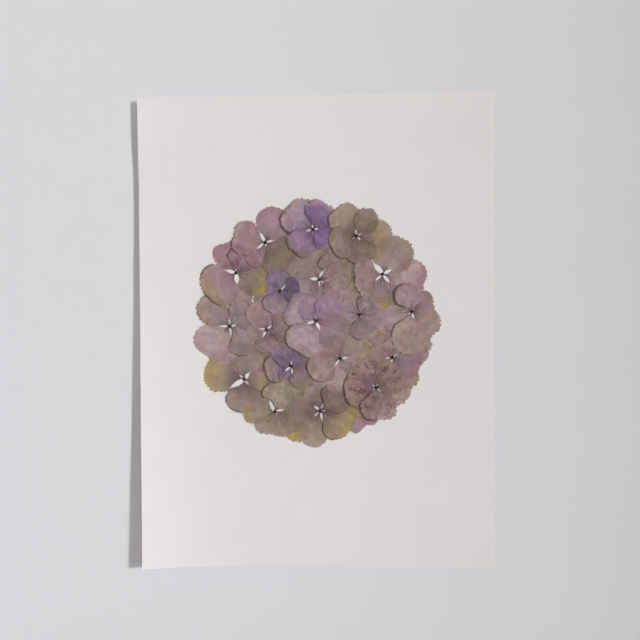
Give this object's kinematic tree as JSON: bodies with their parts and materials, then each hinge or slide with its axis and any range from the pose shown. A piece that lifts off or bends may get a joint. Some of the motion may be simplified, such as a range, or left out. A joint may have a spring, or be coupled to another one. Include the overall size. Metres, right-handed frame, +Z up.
{
  "type": "pressed flower sheet",
  "caption": "Upright rectangular sheet of heavy paper with a round cluster of overlapping pressed hydrangea florets fixed flat on its face; its left margin curls forward.",
  "frame": {"origin": "middle of the sheet's flat back, which lies against the wall", "axes": "+Z up along the sheet's long side, +X to the right seen from the front, +Y out of the back towards the wall, so the flowers face -Y"},
  "size_m": [0.2281, 0.0124, 0.3048],
  "materials": {
    "paper": "matte, slightly toothed",
    "petal_violet_top": "matte, dry and veined",
    "petal_tan_top_right": "matte, dry and veined",
    "petal_pink_top_left": "matte, dry and veined",
    "petal_rose_upper_left": "matte, dry and veined",
    "petal_indigo": "matte, dry and veined",
    "petal_taupe_upper_middle": "matte, dry and veined",
    "petal_pale_left": "matte, dry and veined",
    "petal_pink_inner_left": "matte, dry and veined",
    "petal_lilac_middle": "matte, dry and veined",
    "petal_grey_inner_right": "matte, dry and veined",
    "petal_taupe_upper_right": "matte, dry and veined",
    "petal_pink_right": "matte, dry and veined",
    "petal_purple_lower_right": "matte, dry and veined",
    "petal_speckled": "matte, dry and veined",
    "petal_tan_below_middle": "matte, dry and veined",
    "petal_blue_violet": "matte, dry and veined",
    "petal_golden_lower_left": "matte, dry and veined",
    "petal_green_lower_left": "matte, dry and veined",
    "petal_dark_bottom": "matte, dry and veined",
    "tucked_petal_left": "matte, dry and veined",
    "tucked_petal_yellow_green": "matte, dry and veined",
    "tucked_petal_olive_top": "matte, dry and veined",
    "tucked_petal_middle": "matte, dry and veined",
    "tucked_petal_olive_lower": "matte, dry and veined",
    "tucked_petal_olive_bottom": "matte, dry and veined",
    "tucked_petal_magenta": "matte, dry and veined",
    "tucked_petal_gold": "matte, dry and veined",
    "tucked_petal_right_rim": "matte, dry and veined",
    "tucked_petal_right": "matte, dry and veined"
  },
  "bodies": {
    "root": {"sheet": "paper", "floret_violet_top": "petal_violet_top", "floret_tan_top_right": "petal_tan_top_right", "floret_pink_top_left": "petal_pink_top_left", "floret_rose_upper_left": "petal_rose_upper_left", "floret_indigo": "petal_indigo", "floret_taupe_upper_middle": "petal_taupe_upper_middle", "floret_pale_left": "petal_pale_left", "floret_pink_inner_left": "petal_pink_inner_left", "floret_lilac_middle": "petal_lilac_middle", "floret_grey_inner_right": "petal_grey_inner_right", "floret_taupe_upper_right": "petal_taupe_upper_right", "floret_pink_right": "petal_pink_right", "floret_purple_lower_right": "petal_purple_lower_right", "floret_speckled": "petal_speckled", "floret_tan_below_middle": "petal_tan_below_middle", "floret_blue_violet": "petal_blue_violet", "floret_golden_lower_left": "petal_golden_lower_left", "floret_green_lower_left": "petal_green_lower_left", "floret_dark_bottom": "petal_dark_bottom", "tucked_floret_left": "tucked_petal_left", "tucked_floret_yellow_green": "tucked_petal_yellow_green", "tucked_floret_olive_top": "tucked_petal_olive_top", "tucked_floret_middle": "tucked_petal_middle", "tucked_floret_olive_lower": "tucked_petal_olive_lower", "tucked_floret_olive_bottom": "tucked_petal_olive_bottom", "tucked_floret_magenta": "tucked_petal_magenta", "tucked_floret_gold": "tucked_petal_gold", "tucked_floret_right_rim": "tucked_petal_right_rim", "tucked_floret_right": "tucked_petal_right"}
  },
  "joints": []
}
